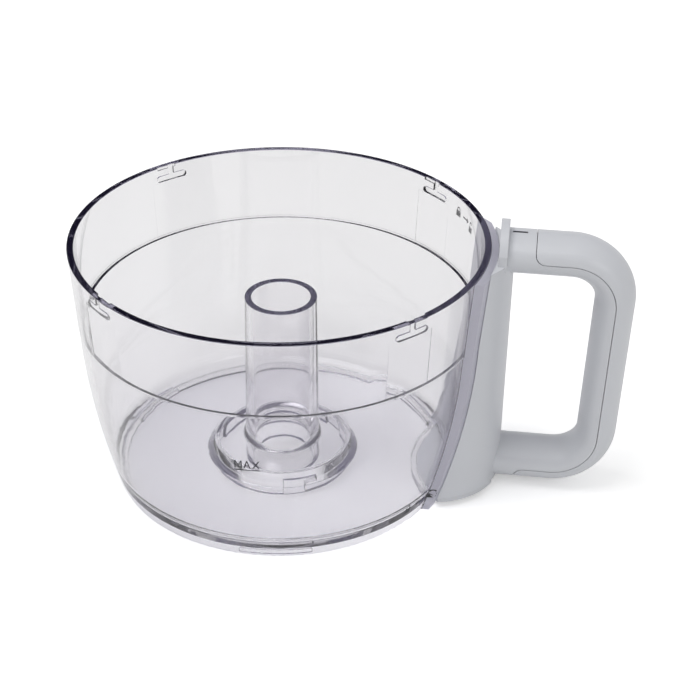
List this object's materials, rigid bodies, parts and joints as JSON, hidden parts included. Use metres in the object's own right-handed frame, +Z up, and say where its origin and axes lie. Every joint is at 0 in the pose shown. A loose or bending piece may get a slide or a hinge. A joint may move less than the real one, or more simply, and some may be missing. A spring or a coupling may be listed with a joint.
{
  "type": "food processor bowl",
  "caption": "Clear round bowl with a hollow central column, bayonet slots under the rim and a closed-loop side handle with a spring-loaded lid interlock rod.",
  "frame": {"origin": "centre of the drive socket in the plane of the foot, on the bowl's axis", "axes": "+Z up along the bowl's axis, +X from the axis towards the handle"},
  "size_m": [0.2609, 0.194, 0.1373],
  "materials": {
    "clear_bowl": "polished clear moulding with a faint violet edge",
    "handle_grey": "satin moulded",
    "rod_plastic": "moulded acetal",
    "spring_steel": "drawn wire",
    "screw_steel": "zinc plated"
  },
  "bodies": {
    "bowl_assembly": {"bowl": "clear_bowl", "handle_body": "handle_grey", "grip_cover": "handle_grey", "handle_foot": "handle_grey", "foot_screws": "screw_steel", "rod_spring": "spring_steel"},
    "interlock": {"interlock_rod": "rod_plastic"}
  },
  "joints": [
    {"name": "interlock_slide", "type": "slide", "parent": "bowl_assembly", "child": "interlock", "axis": [0, 0, -1], "range_m": [0, 0.0048], "stiffness_N_per_m": 250, "springref_m": -0.004, "deforming": ["rod_spring"]}
  ]
}
